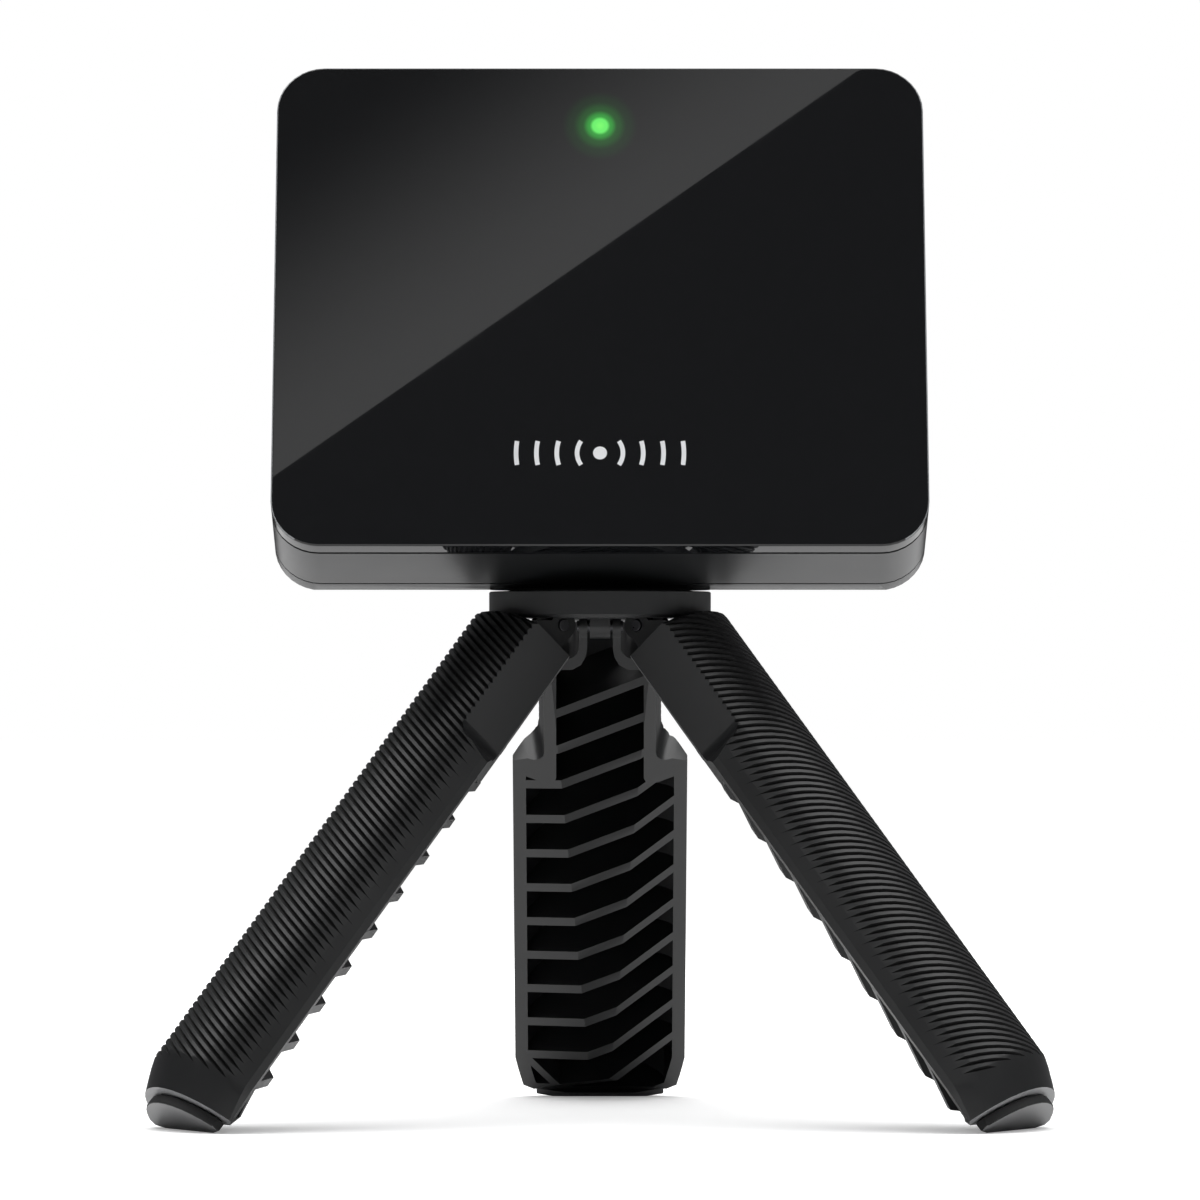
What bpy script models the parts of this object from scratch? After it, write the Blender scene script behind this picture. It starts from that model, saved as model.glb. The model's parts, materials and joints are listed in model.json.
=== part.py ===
"""Golf launch monitor: a flat radar head that leans back on a small folding tripod.

The head is a slab: front window, seal, mid housing and rear cover, with the radar board,
battery, light guide, switch and charging port inside.  The tripod has a round hub with
three hinge tongues, and three ribbed legs that fold together into one cylinder.

Units are metres, +Z is up, -Y is the front.  The origin is on the ground, at the middle
of the whole object's box.
"""

import math

import bmesh
import bpy
from mathutils import Matrix, Vector

MM = 0.001
GAP = 0.3 * MM                       # running and assembly gap between separate pieces

# ---- tripod: where the legs stand ------------------------------------------------------
TRIPOD_Y = -13.3 * MM                # tripod axis, behind it the rear leg reaches furthest
LEG_SPLAY = math.radians(39.53)      # leg axis from the tripod axis, open
LEG_CROSS_Z = 67.7 * MM              # height where the open legs' axes meet
LEG_AZIMUTHS = {"left": 210.0, "right": 330.0, "rear": 90.0}

# ---- leg section: a tangential, b radial when folded, s down the leg --------------------
LEG_R = 14.65 * MM                   # outer arc
LEG_TOP_S = 9.3 * MM
LEG_TAPER_S = 86.0 * MM
LEG_END_S = 90.8 * MM
LEG_END_R = 12.9 * MM
LEG_HALF_WIDTH = 12.25 * MM          # at the rim
LEG_END_HALF_WIDTH = 11.1 * MM
FOOT_CURVE = 1.15                    # 1 would be a plain cone
LEG_WALL = 1.8 * MM
WEDGE_SLOPE = math.tan(math.radians(30.0))
WEDGE_B = -0.15 * MM                 # rim plane is b = WEDGE_SLOPE * |a| + WEDGE_B
CORE_B = 4.3 * MM                    # flat between the two wedge planes, at s = 0
CORE_SLOPE = -0.043                  # the flat narrows towards the foot
INNER_CHAMFER_S = 84.6 * MM
INNER_CHAMFER_END_B = 5.4 * MM
ARC_STEPS = 16

# ---- leg top: narrow neck with side cuts, and the hinge fork ----------------------------
NECK_HALF_WIDTH = 7.8 * MM           # at the rim
NECK_DRAFT = 0.105                   # the side cuts lean out towards the back
NECK_BASE_B = 4.4 * MM
NECK_POCKET_HALF = 6.1 * MM
SHOULDER_S = 30.3 * MM               # where the full width begins
SHOULDER_RISE = 1.6 * MM
SHOULDER_FILLET = 2.2 * MM
POCKET_TOP_S = 11.2 * MM
HINGE_R = 7.4 * MM                   # hinge pin from the tripod axis
HINGE_Z = 67.5 * MM
FORK_EYE_R = 1.9 * MM
FORK_INNER = 1.75 * MM               # half-gap between the two fork plates
FORK_OUTER = 2.9 * MM
FORK_FILLET = 2.0 * MM
FORK_REACH_B = 12.1 * MM             # the fork's top edge lies along the hub's underside
FORK_CLEARANCE = 0.35 * MM
TONGUE_HALF = 1.4 * MM
TONGUE_EYE_R = 1.7 * MM
PIN_R = 0.82 * MM
PIN_HOLE_R = 0.9 * MM               # running fit on the pin

# ---- leg ribs ----------------------------------------------------------------------------
RIB_FIRST_S = 15.9 * MM              # rib middle at a = 0
RIB_PITCH = 6.36 * MM
RIB_COUNT = 12
RIB_THICK = 1.5 * MM
RIB_SHEAR = 0.476                    # s per a: the ribs run like a thread round the cylinder
POCKET_HALF = 10.4 * MM
POCKET_ROUND_R = 2.0 * MM            # where the inside widens below the neck
ROOM_OPEN_B = -6.0 * MM              # the cutters start well clear of the open side
ARCH_WIDTH = 2.15 * MM
ARCH_HEIGHT = 4.3 * MM
END_WALL_S = 89.4 * MM
FOOT_BACK_R = 11.4 * MM
FOOT_POCKET_HALF = 9.3 * MM
FOOT_CORNER_RISE = 4.2 * MM
BRACE_S = 85.3 * MM
BRACE_SHEAR = 0.75

# ---- soles ---------------------------------------------------------------------------------
SOLE_TOP_S = LEG_END_S + GAP
SOLE_END_S = 92.4 * MM
SOLE_R = 11.7 * MM
SOLE_HALF_WIDTH = 9.2 * MM
SOLE_EDGE_B = 5.0 * MM
SOLE_EDGE_HALF = 5.0 * MM
SOLE_CORNER_B = 6.0 * MM
GROUND_HALF = 200 * MM               # the soles are trimmed flat on the ground

# ---- hub ------------------------------------------------------------------------------------
HUB_R = 15.2 * MM
HUB_BOTTOM_Z = 68.5 * MM
HUB_TOP_Z = 72.15 * MM
HUB_CHAMFER = 0.4 * MM
HUB_TOP_CHAMFER = 0.15 * MM
HUB_POCKET_R = 2.2 * MM              # round pockets in the underside that clear the fork's eyes
HUB_POCKET_HALF = 3.4 * MM
TONGUE_TOP_Z = 70.0 * MM
PAD_INNER_R = 7.4 * MM
PAD_OUTER_R = 12.8 * MM
PAD_BOTTOM_Z = 71.2 * MM
PAD_TOP_Z = 72.25 * MM
STUD_R = 3.1 * MM                    # 1/4-20 tripod screw
STUD_TOP_Z = 77.6 * MM
STUD_FLANGE_R = 5.6 * MM
STUD_FLANGE_Z = 70.4 * MM
STUD_SHANK_R = 2.2 * MM

# ---- head: X across, Y back from the window, Z up along the window ------------------------
HEAD_LEAN = 0.365                    # radians, top leans back
HEAD_EDGE_Y = -20.1 * MM             # window's lower front edge, from the tripod axis
HEAD_EDGE_Z = 78.08 * MM
HEAD_W = 88.9 * MM
HEAD_H = 71.12 * MM
HEAD_CORNER_R = 6.5 * MM
WINDOW_T = 2.5 * MM
HOUSING_BACK_Y = 13.65 * MM
COVER_FRONT_Y = HOUSING_BACK_Y + GAP
SLAB_T = 16.8 * MM
WALL = 1.6 * MM
CORNER_STEPS = 9
BASE_Z = 72.35 * MM                  # world height of the head's flat base
HEEL_Y = 25.4 * MM                   # deepest point of the rear heel
HEEL_HALF = 15.0 * MM
HEEL_TOP = 54.0 * MM
HEEL_FLAT_TOP = 12.0 * MM
HEEL_TAPER = 3.0 * MM
HEEL_CORNER_R = 7.0 * MM
BOSS_R = 5.2 * MM
HEEL_BOTTOM = -1.4 * MM              # the flat base cuts off what is lower
HEEL_ROOT = 1.3 * MM                 # how deep it starts inside the slab
HEEL_WALL = 1.7 * MM
HEEL_ROOM_BOTTOM = 5.2 * MM
HEEL_ROOM_TOP = 45.0 * MM
COVER_EDGE = 0.5 * MM                # rounded back edge
COVER_BACK = 1.5 * MM                # thickness of the cover's back wall
COVER_RIM = 4.0 * MM
INSERT_R = 3.95 * MM
INSERT_BORE_R = 3.4 * MM             # clears the tripod screw's thread
INSERT_LENGTH = 6.4 * MM
INSERT_BOTTOM = BASE_Z + 0.15 * MM

WINDOW_EDGE = 0.2 * MM
WINDOW_SEAM = 0.5 * MM               # shadow line between the window and the housing
WINDOW_RIM = 2.5 * MM                # full-thickness border round the recess behind
WINDOW_RECESS_Y = 1.3 * MM
SEAL_INSET = 1.35 * MM
SEAL_W = 1.0 * MM
SEAL_Y0 = 2.8 * MM
SEAL_Y1 = 3.9 * MM
SEAL_LEDGE = 2.7 * MM                # inner reach of the ledge under the seal
LEDGE_Y0 = SEAL_Y1 + GAP
LEDGE_Y1 = 5.4 * MM
LEDGE_END_Y = 6.4 * MM

SCREW_X = 40.2 * MM
SCREW_Z = 31.3 * MM                  # from the head's mid height
SCREW_BOSS_R = 2.8 * MM
SCREW_HEAD_R = 1.75 * MM
SCREW_SHANK_R = 0.8 * MM
SCREW_SEAT_Y = SLAB_T - 1.2 * MM
SCREW_BOSS_Y = 6.6 * MM
SCREW_TIP_Y = 8.2 * MM

BUTTON_X = 15.7 * MM
BUTTON_Y = 9.6 * MM
BUTTON_L = 11.0 * MM
BUTTON_W = 4.4 * MM
BUTTON_PROUD = 0.35 * MM
BUTTON_FLANGE = 0.8 * MM             # thickness of the flange that keeps it in
BUTTON_TRAVEL = 0.5 * MM
SWITCH_H = 2.4 * MM

PORT_Z = 38.0 * MM
PORT_Y = 8.6 * MM
FLAP_L = 10.6 * MM
FLAP_W = 4.6 * MM
FLAP_T = 1.3 * MM
FLAP_BARREL_R = 0.62 * MM
SOCKET_L = 7.5 * MM
SOCKET_W = 2.9 * MM
SOCKET_WALL = 0.45 * MM
SOCKET_DEPTH = 5.4 * MM
SOCKET_BACK_X = HEAD_W / 2 - 7.4 * MM

LED_Z = 62.3 * MM
LIGHT_GUIDE_R = 1.1 * MM
TRAY_Z = 45.0 * MM
TRAY_WALL = 1.2 * MM

# flat pieces inside the head, mm: width, height, middle x, middle z, front y, back y, corner
INNER_PLATES = {
    "radar_board": (78.0, 60.0, 0.0, 37.0, 4.9, 6.1, 2.0),
    "radar_antenna": (56.0, 36.0, 0.0, 31.0, 3.7, 4.6, 1.5),
    "radar_shield": (24.0, 14.0, -24.0, 15.0, 6.4, 8.6, 1.0),
    "status_led": (1.8, 1.4, 0.0, LED_Z / MM, 4.0, 4.6, 0.2),
    "battery_tray": (60.0, 38.0, 0.0, TRAY_Z / MM, 6.5, 9.5, 2.0),
    "battery_pack": (56.0, 34.0, 0.0, TRAY_Z / MM, 7.7, 13.2, 2.0),
}


# ---- small tools ----------------------------------------------------------------------------
def clear_scene():
    for old in list(bpy.data.objects):
        bpy.data.objects.remove(old, do_unlink=True)


def material(name, color, roughness, metallic=0.0):
    """One Principled material."""
    made = bpy.data.materials.new(name)
    made.use_nodes = True
    shader = made.node_tree.nodes["Principled BSDF"]
    shader.inputs["Base Color"].default_value = (*color, 1.0)
    shader.inputs["Roughness"].default_value = roughness
    shader.inputs["Metallic"].default_value = metallic
    return made


def empty(name, matrix, parent=None):
    """A frame for parts to sit in: a hinge, or the leaning head."""
    made = bpy.data.objects.new(name, None)
    bpy.context.collection.objects.link(made)
    made.parent = parent
    made.matrix_local = matrix
    return made


def place(name, mesh, parent, surface):
    made = bpy.data.objects.new(name, mesh)
    bpy.context.collection.objects.link(made)
    made.parent = parent
    if surface is not None and not mesh.materials:
        mesh.materials.append(surface)
    return made


def mesh_of(name, bm, smooth_angle=35.0):
    """Close up a bmesh: faces out, smooth except over real edges."""
    bmesh.ops.remove_doubles(bm, verts=bm.verts, dist=1e-7)
    bmesh.ops.recalc_face_normals(bm, faces=bm.faces)
    mesh = bpy.data.meshes.new(name)
    bm.to_mesh(mesh)
    bm.free()
    mesh.shade_smooth()
    mesh.set_sharp_from_angle(angle=math.radians(smooth_angle))
    return mesh


def loft(rings, closed=False):
    """Skin a list of equal rings of points; capped at both ends unless closed round."""
    bm = bmesh.new()
    rows = [[bm.verts.new(point) for point in ring] for ring in rings]
    count = len(rows[0])
    pairs = list(zip(rows, rows[1:]))
    if closed:
        pairs.append((rows[-1], rows[0]))
    for low, high in pairs:
        for i in range(count):
            j = (i + 1) % count
            bm.faces.new((low[i], low[j], high[j], high[i]))
    if not closed:
        bm.faces.new(rows[0])
        bm.faces.new(rows[-1])
    return bm


def joined(*parts):
    """Several bmeshes in one, kept as separate bodies."""
    whole = bmesh.new()
    for part in parts:
        copy = bpy.data.meshes.new("part")
        part.to_mesh(copy)
        part.free()
        whole.from_mesh(copy)
        bpy.data.meshes.remove(copy)
    return whole


def cut(target, name, bm, operation="DIFFERENCE", parent="same"):
    """Boolean a hidden guide solid into the target."""
    guide_parent = target.parent if parent == "same" else parent
    guide = place(name, mesh_of(name, bm), guide_parent, None)
    use_guide(target, guide, operation)
    return guide


def use_guide(target, guide, operation="DIFFERENCE"):
    guide.hide_render = True
    guide.display_type = "WIRE"
    step = target.modifiers.new(guide.name, "BOOLEAN")
    step.solver = "EXACT"
    step.operation = operation
    step.object = guide


def rounded_rect(width, height, radius, steps=CORNER_STEPS):
    """Outline points (u, v), counter-clockwise, round corners as arcs."""
    points = []
    for quarter in range(4):
        sign_u = 1 if quarter in (0, 3) else -1
        sign_v = 1 if quarter in (0, 1) else -1
        centre_u = sign_u * (width / 2 - radius)
        centre_v = sign_v * (height / 2 - radius)
        for step in range(steps + 1):
            angle = math.radians(90.0 * (quarter + step / steps))
            points.append((centre_u + radius * math.cos(angle), centre_v + radius * math.sin(angle)))
    return points


def circle(radius, steps=24):
    turns = [2 * math.pi * i / steps for i in range(steps)]
    return [(radius * math.cos(t), radius * math.sin(t)) for t in turns]


def bar(outline, start, along, span):
    """Prism: outline (u, v) placed by start and the plane's axes, pushed along a direction."""
    axis_u, axis_v = span
    base = [start + axis_u * u + axis_v * v for u, v in outline]
    return loft([base, [point + along for point in base]])


X, Y, Z = Vector((1, 0, 0)), Vector((0, 1, 0)), Vector((0, 0, 1))


def box(low, high):
    (x0, y0, z0), (x1, y1, z1) = low, high
    ring = [(x0, y0), (x1, y0), (x1, y1), (x0, y1)]
    return loft([[Vector((x, y, z)) for x, y in ring] for z in (z0, z1)])


def turned(profile, steps=40):
    """Lathe a closed (r, z) outline round Z; every r is above zero."""
    rings = []
    for i in range(steps):
        t = 2 * math.pi * i / steps
        rings.append([Vector((r * math.cos(t), r * math.sin(t), z)) for r, z in profile])
    return loft(rings, closed=True)


# ---- tripod ---------------------------------------------------------------------------------
HINGE_B = HINGE_R * math.cos(LEG_SPLAY) + (HINGE_Z - LEG_CROSS_Z) * math.sin(LEG_SPLAY)
HINGE_S = HINGE_R * math.sin(LEG_SPLAY) - (HINGE_Z - LEG_CROSS_Z) * math.cos(LEG_SPLAY)


def leg_point(a, b, s):
    """Leg coordinates to the leg's own frame, whose origin is on the hinge pin."""
    return Vector((b - HINGE_B, a, HINGE_S - s))


def core_b(s):
    return CORE_B + CORE_SLOPE * s


def inner_edge(s):
    """Half-width and depth of the flat between the two wedge planes."""
    depth = core_b(s)
    if s > INNER_CHAMFER_S:
        along = (s - INNER_CHAMFER_S) / (LEG_END_S - INNER_CHAMFER_S)
        depth = core_b(INNER_CHAMFER_S) * (1 - along) + INNER_CHAMFER_END_B * along
    return (depth - WEDGE_B) / WEDGE_SLOPE, depth


def leg_ring(s, radius, half_width):
    """One closed section of the leg's outer body."""
    arc_limit = math.asin(half_width / radius)
    ring = []
    for i in range(ARC_STEPS + 1):
        t = arc_limit * (2 * i / ARC_STEPS - 1)
        ring.append(leg_point(radius * math.sin(t), radius * math.cos(t), s))
    half_flat, depth = inner_edge(s)
    rim_b = WEDGE_SLOPE * half_width + WEDGE_B
    ring.append(leg_point(half_width, rim_b, s))
    ring.append(leg_point(half_flat, depth, s))
    ring.append(leg_point(-half_flat, depth, s))
    ring.append(leg_point(-half_width, rim_b, s))
    return ring


def leg_body():
    """Full-width leg: rounded top edge, straight length, tapered foot."""
    rings = [leg_ring(LEG_TOP_S, LEG_R - 0.6 * MM, LEG_HALF_WIDTH - 0.6 * MM)]
    rings.append(leg_ring(LEG_TOP_S + 0.6 * MM, LEG_R, LEG_HALF_WIDTH))
    rings.append(leg_ring(INNER_CHAMFER_S, LEG_R, LEG_HALF_WIDTH))
    foot_steps = 3
    for i in range(foot_steps + 1):
        along = i / foot_steps
        curve = along ** FOOT_CURVE
        s = LEG_TAPER_S + (LEG_END_S - LEG_TAPER_S) * along
        radius = LEG_R + (LEG_END_R - LEG_R) * curve
        half_width = LEG_HALF_WIDTH + (LEG_END_HALF_WIDTH - LEG_HALF_WIDTH) * curve
        rings.append(leg_ring(s, radius, half_width))
    return loft(rings)


def rib_s(index, a):
    """Middle of a rib at tangential place a: every rib is a sheared plane."""
    return RIB_FIRST_S + RIB_PITCH * index + RIB_SHEAR * a


def room_top(a):
    """Top of the leg's inside: an arch between the fork plates, then the neck, then the ledge."""
    place_a = abs(a)
    if place_a <= FORK_INNER:
        return HINGE_S
    if place_a < NECK_POCKET_HALF:
        reach = min(1.0, (place_a - FORK_INNER) / ARCH_WIDTH)
        return POCKET_TOP_S - ARCH_HEIGHT * (1 - math.sqrt(1 - (1 - reach) ** 2))
    round_r = POCKET_ROUND_R
    past = min(round_r, place_a - NECK_POCKET_HALF)
    return SHOULDER_S + LEG_WALL - round_r + math.sqrt(round_r ** 2 - (round_r - past) ** 2)


def room_end(a):
    """Bottom of the leg's inside, cut across at the foot's rounded corners."""
    past = max(0.0, abs(a) - FOOT_POCKET_HALF) / (POCKET_HALF - FOOT_POCKET_HALF)
    return END_WALL_S - FOOT_CORNER_RISE * past


def leg_room():
    """Everything inside the leg's rim, before the ribs are left standing in it."""
    half = [0.0, FORK_INNER, FORK_INNER + 0.03 * MM]
    half += [FORK_INNER + ARCH_WIDTH * k for k in (0.12, 0.4, 1.0)]
    half += [NECK_POCKET_HALF - 0.03 * MM, NECK_POCKET_HALF + 0.03 * MM]
    half += [NECK_POCKET_HALF + POCKET_ROUND_R * k for k in (0.15, 0.45, 1.0)]
    half += [FOOT_POCKET_HALF, POCKET_HALF]
    places = [-a for a in reversed(half[1:])] + half
    back_r = LEG_R - LEG_WALL
    rings = []
    for a in places:
        back, foot_back = (math.sqrt(r ** 2 - a ** 2) for r in (back_r, FOOT_BACK_R))
        rings.append([leg_point(a, ROOM_OPEN_B, room_top(a)), leg_point(a, back, room_top(a)),
                      leg_point(a, back, LEG_TAPER_S - MM), leg_point(a, foot_back, room_end(a)),
                      leg_point(a, ROOM_OPEN_B, room_end(a))])
    return loft(rings)


def rib_slab(start, end, low_a=-POCKET_HALF - MM, high_a=POCKET_HALF + MM):
    """One rib: a thin slab between two straight lines of s over a."""
    rings = []
    for a in (low_a, high_a):
        rings.append([leg_point(a, ROOM_OPEN_B - MM, start(a)), leg_point(a, LEG_R, start(a)),
                      leg_point(a, LEG_R, end(a)), leg_point(a, ROOM_OPEN_B - MM, end(a))])
    return loft(rings)


def leg_ribs():
    """All the sheared ribs, as separate bodies."""
    half = RIB_THICK / 2
    slabs = []
    for i in range(RIB_COUNT):
        slabs.append(rib_slab(lambda a, i=i: rib_s(i, a) - half, lambda a, i=i: rib_s(i, a) + half))
    return joined(*slabs)


def foot_brace():
    """Short brace the other way, in the foot's corner under the last full rib."""
    def middle(a):
        return BRACE_S + BRACE_SHEAR * (POCKET_HALF - a)

    half = RIB_THICK * 0.55
    return rib_slab(lambda a: middle(a) - half, lambda a: middle(a) + half, 2.0 * MM)


def neck_side_cut(side):
    """Cut that narrows the leg's top: side face with a little draft, fillet, sloped ledge."""
    corner_a = NECK_HALF_WIDTH + SHOULDER_FILLET
    ledge = SHOULDER_S - SHOULDER_RISE
    outline = [(NECK_HALF_WIDTH, 0.0)]
    for step in range(5):
        t = math.radians(90.0 * step / 4)
        outline.append((corner_a - SHOULDER_FILLET * math.cos(t),
                        ledge - SHOULDER_FILLET + SHOULDER_FILLET * math.sin(t)))
    outline.append((LEG_HALF_WIDTH, SHOULDER_S))
    outline.append((LEG_HALF_WIDTH + 4 * MM, SHOULDER_S + 3 * MM))
    outline.append((LEG_HALF_WIDTH + 4 * MM, 0.0))
    rings = []
    for b in (0.0, 18 * MM):
        draft = NECK_DRAFT * (b - NECK_BASE_B)
        rings.append([leg_point(side * (a + draft), b, s) for a, s in outline])
    return loft(rings)


def fork_blank(side):
    """One fork plate with its flared root, seen along b."""
    outline = [(FORK_INNER, HINGE_S - FORK_EYE_R - MM), (FORK_OUTER, HINGE_S - FORK_EYE_R - MM)]
    for step in range(6):
        t = math.radians(90.0 * step / 5)
        outline.append((FORK_OUTER + FORK_FILLET * (1 - math.cos(t)),
                        LEG_TOP_S - FORK_FILLET * (1 - math.sin(t))))
    outline.append((FORK_OUTER + FORK_FILLET, POCKET_TOP_S - 0.2 * MM))
    outline.append((3.6 * MM, POCKET_TOP_S - 0.2 * MM))
    outline.append((FORK_INNER, POCKET_TOP_S - 2.2 * MM))
    return loft([[leg_point(side * a, b, s) for a, s in outline] for b in (-2 * MM, 13 * MM)])


def fork_profile():
    """Side shape of the fork: a round eye on the pin, and an edge that stops under the hub."""
    rise = HUB_BOTTOM_Z - FORK_CLEARANCE - HINGE_Z
    start = math.degrees(LEG_SPLAY - math.asin(rise / FORK_EYE_R))
    outline = []
    for step in range(16):
        t = math.radians(start - (start + 210.0) * step / 15)
        outline.append((HINGE_B + FORK_EYE_R * math.cos(t), HINGE_S + FORK_EYE_R * math.sin(t)))
    slope = math.tan(LEG_SPLAY)
    reach_s = slope * FORK_REACH_B - (rise + HINGE_Z - LEG_CROSS_Z) / math.cos(LEG_SPLAY)
    outline += [(3.7 * MM, 12.2 * MM), (FORK_REACH_B, 12.2 * MM), (FORK_REACH_B, reach_s)]
    return loft([[leg_point(a, b, s) for b, s in outline] for a in (-7 * MM, 7 * MM)])


def cross_cylinder(radius, half_length, steps=16):
    """Cylinder on the hinge pin's line, in the leg's own frame."""
    ring = circle(radius, steps)
    return loft([[Vector((u, y, v)) for u, v in ring] for y in (-half_length, half_length)])


def build_leg_room(name, hinge):
    """The inside of a leg as a guide solid: the room less the ribs and the brace."""
    room = place(f"{name}_room", mesh_of("room", leg_room(), 20.0), hinge, None)
    cut(room, f"{name}_ribs", leg_ribs())
    cut(room, f"{name}_brace", foot_brace())
    return room


def build_leg(name, hinge, mesh, surface):
    room = build_leg_room(name, hinge)
    leg = place(name, mesh, hinge, surface)
    for side, tag in ((1, "a"), (-1, "b")):
        cut(leg, f"{name}_side_cut_{tag}", neck_side_cut(side))
    for side, tag in ((1, "a"), (-1, "b")):
        fork = place(f"{name}_fork_{tag}", mesh_of("fork", fork_blank(side)), hinge, None)
        cut(fork, f"{name}_fork_profile_{tag}", fork_profile(), "INTERSECT")
        use_guide(leg, fork, "UNION")
    use_guide(leg, room)
    cut(leg, f"{name}_pin_hole", cross_cylinder(PIN_HOLE_R, 7 * MM))
    return leg


def sole_solid():
    """Rubber sole under the leg's end: straight inner edge, arc behind."""
    arc_limit = math.asin(SOLE_HALF_WIDTH / SOLE_R)

    def ring(s, inset):
        radius = SOLE_R - inset
        half = SOLE_HALF_WIDTH - inset
        points = []
        for i in range(13):
            t = arc_limit * (2 * i / 12 - 1) * (1 if not inset else half / SOLE_HALF_WIDTH)
            points.append(leg_point(radius * math.sin(t), radius * math.cos(t), s))
        points.append(leg_point(half, SOLE_CORNER_B + inset, s))
        points.append(leg_point(SOLE_EDGE_HALF, SOLE_EDGE_B + inset, s))
        points.append(leg_point(-SOLE_EDGE_HALF, SOLE_EDGE_B + inset, s))
        points.append(leg_point(-half, SOLE_CORNER_B + inset, s))
        return points

    return loft([ring(SOLE_TOP_S, 0.0), ring(SOLE_END_S - 0.15 * MM, 0.0), ring(SOLE_END_S, 0.15 * MM)])


def hub_tongue(turn):
    """Tongue under the hub that a leg's fork straddles."""
    outline = []
    for step in range(9):
        t = math.radians(180.0 + 180.0 * step / 8)
        outline.append((HINGE_R + TONGUE_EYE_R * math.cos(t), HINGE_Z + TONGUE_EYE_R * math.sin(t)))
    outline += [(HINGE_R + TONGUE_EYE_R, TONGUE_TOP_Z), (HINGE_R - TONGUE_EYE_R, TONGUE_TOP_Z)]
    spin = Matrix.Rotation(turn, 4, "Z")
    return loft([[spin @ Vector((r, a, z)) for r, z in outline] for a in (-TONGUE_HALF, TONGUE_HALF)])


def hub_disc():
    """Disc with a groove for the friction pad and a stepped hole for the tripod screw."""
    low, high = HUB_CHAMFER, HUB_TOP_CHAMFER
    profile = [(STUD_SHANK_R + GAP, HUB_BOTTOM_Z), (HUB_R - low, HUB_BOTTOM_Z), (HUB_R, HUB_BOTTOM_Z + low),
               (HUB_R, HUB_TOP_Z - high), (HUB_R - high, HUB_TOP_Z), (PAD_OUTER_R + GAP, HUB_TOP_Z),
               (PAD_OUTER_R + GAP, PAD_BOTTOM_Z - GAP), (PAD_INNER_R - GAP, PAD_BOTTOM_Z - GAP),
               (PAD_INNER_R - GAP, HUB_TOP_Z), (STUD_FLANGE_R + GAP, HUB_TOP_Z),
               (STUD_FLANGE_R + GAP, STUD_FLANGE_Z - GAP), (STUD_SHANK_R + GAP, STUD_FLANGE_Z - GAP)]
    return turned(profile, 44)


def build_tripod(root, looks):
    hub = place("tripod_hub", mesh_of("hub", hub_disc()), root, looks["satin"])
    pad = turned([(PAD_INNER_R, PAD_BOTTOM_Z), (PAD_OUTER_R, PAD_BOTTOM_Z),
                  (PAD_OUTER_R, PAD_TOP_Z), (PAD_INNER_R, PAD_TOP_Z)], 40)
    place("friction_pad", mesh_of("pad", pad), root, looks["rubber"])
    stud = [circle(STUD_SHANK_R), circle(STUD_SHANK_R), circle(STUD_FLANGE_R), circle(STUD_FLANGE_R),
            circle(STUD_R), circle(STUD_R), circle(STUD_R - 0.6 * MM)]
    heights = [HUB_BOTTOM_Z + 0.2 * MM, STUD_FLANGE_Z, STUD_FLANGE_Z, HUB_TOP_Z, HUB_TOP_Z,
               STUD_TOP_Z - 0.6 * MM, STUD_TOP_Z]
    rings = [[Vector((x, y, z)) for x, y in ring] for ring, z in zip(stud, heights)]
    place("tripod_screw", mesh_of("tripod_screw", loft(rings)), root, looks["steel"])

    ground_box = box((-GROUND_HALF, -GROUND_HALF, -10 * MM), (GROUND_HALF, GROUND_HALF, 0.0))
    ground = place("ground_cut", mesh_of("ground", ground_box), root, None)
    ground.hide_render = True
    ground.display_type = "WIRE"
    leg_mesh = mesh_of("leg", leg_body())
    sole_mesh = mesh_of("sole", sole_solid())
    pin_mesh = mesh_of("hinge_pin", cross_cylinder(PIN_R, FORK_OUTER + 0.3 * MM))
    for tag, azimuth in LEG_AZIMUTHS.items():
        turn = math.radians(azimuth)
        spin = Matrix.Rotation(turn, 4, "Z")
        at_pin = spin @ Matrix.Translation((HINGE_R, 0, HINGE_Z))
        hinge = empty(f"leg_{tag}_hinge", at_pin @ Matrix.Rotation(-LEG_SPLAY, 4, "Y"), root)
        pocket = cross_cylinder(HUB_POCKET_R, HUB_POCKET_HALF, 24)
        cut(hub, f"hub_pocket_{tag}", pocket, parent=hinge)
        cut(hub, f"hub_tongue_{tag}", hub_tongue(turn), "UNION", parent=root)
        build_leg(f"leg_{tag}", hinge, leg_mesh, looks["leg"])
        sole = place(f"sole_{tag}", sole_mesh, hinge, looks["rubber"])
        use_guide(sole, ground)
        place(f"hinge_pin_{tag}", pin_mesh, hinge, looks["steel"])
        cut(hub, f"hub_pin_hole_{tag}", cross_cylinder(PIN_HOLE_R, 2 * MM), parent=hinge)


# ---- head -----------------------------------------------------------------------------------
def head_outline(inset, y, width=HEAD_W, height=HEAD_H, radius=HEAD_CORNER_R):
    """Rounded outline of the head at depth y, drawn in by inset."""
    shape = rounded_rect(width - 2 * inset, height - 2 * inset, max(radius - inset, 0.5 * MM))
    return [Vector((u, y, v + HEAD_H / 2)) for u, v in shape]


def plate(width, height, centre, y0, y1, radius=1.0 * MM, steps=3):
    """Flat plate across the head between two depths; centre is (x, z)."""
    shape = rounded_rect(width, height, radius, steps)
    return loft([[Vector((centre[0] + u, y, centre[1] + v)) for u, v in shape] for y in (y0, y1)])


def rod(radius, centre, y0, y1, steps=20):
    """Round bar along the head's depth."""
    return loft([[Vector((centre[0] + u, y, centre[1] + v)) for u, v in circle(radius, steps)]
                 for y in (y0, y1)])


def evenly(low, high, count):
    return [low + (high - low) * i / (count - 1) for i in range(count)]


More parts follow.
